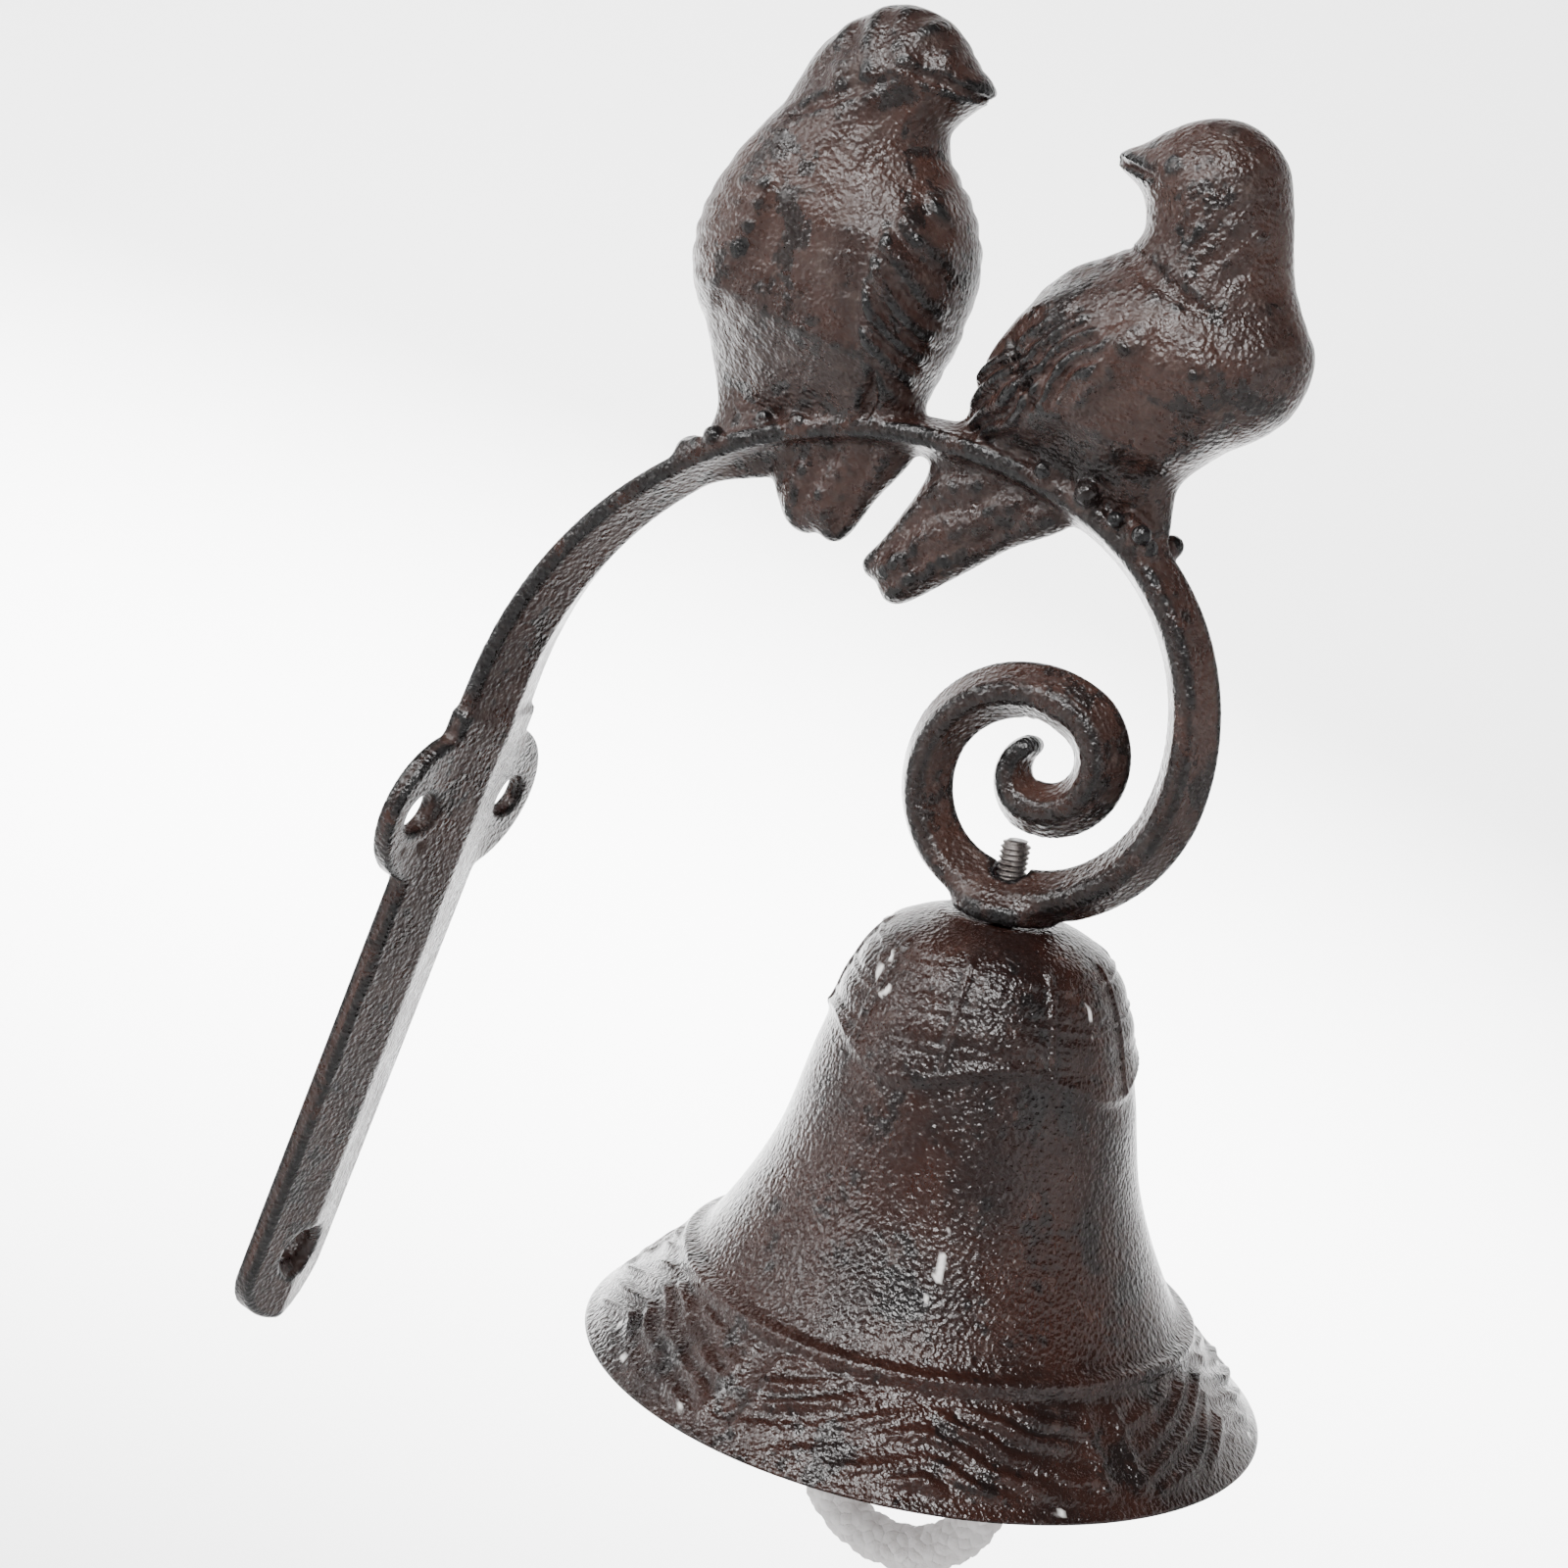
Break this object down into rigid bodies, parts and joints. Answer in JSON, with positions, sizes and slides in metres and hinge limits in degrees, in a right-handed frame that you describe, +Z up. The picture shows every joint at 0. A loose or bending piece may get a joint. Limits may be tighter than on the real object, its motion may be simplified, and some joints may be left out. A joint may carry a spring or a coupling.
{
  "type": "wall mounted bell",
  "caption": "Cast-iron wall bell: plate and arched, scrolled arm with two perched birds, flared bell bolted under the scroll, swinging clapper with a rope pull.",
  "frame": {"origin": "on the wall plate's flat back face, at the plate's centreline, halfway between its two upper screw holes", "axes": "+X straight out from the wall along the arm, +Z up, +Y sideways along the wall; the arm and its scroll lie in the XZ plane"},
  "size_m": [0.1404, 0.09, 0.2154],
  "materials": {
    "bracket_iron": "dark brown lacquer, glossy over sand-cast skin",
    "bell_iron": "dark brown lacquer, glossy over sand-cast skin",
    "clapper_iron": "dark brown lacquer",
    "bolt_steel": "dull threaded steel",
    "zinc_steel": "zinc plated",
    "cotton_rope": "braided white cotton"
  },
  "bodies": {
    "base": {"bracket_casting": "bracket_iron", "bell_casting": "bell_iron", "eye_bolt": "bolt_steel", "clamp_washer": "zinc_steel", "clamp_nut": "zinc_steel"},
    "hanger": {"hanger_ring": "zinc_steel"},
    "clapper": {"clapper_rod": "zinc_steel", "clapper_ball": "clapper_iron", "rope_knot": "cotton_rope", "pull_rope": "cotton_rope"}
  },
  "joints": [
    {"name": "ring_swing", "type": "hinge", "parent": "base", "child": "hanger", "pos_m": [0.08523, 0, 0.0112], "axis": [0, 1, 0], "range_deg": [-20, 20]},
    {"name": "clapper_swing", "type": "hinge", "parent": "hanger", "child": "clapper", "pos_m": [0.08691, 0, 0.00471], "axis": [0.9681, 0, 0.2504], "range_deg": [-18, 18]}
  ]
}
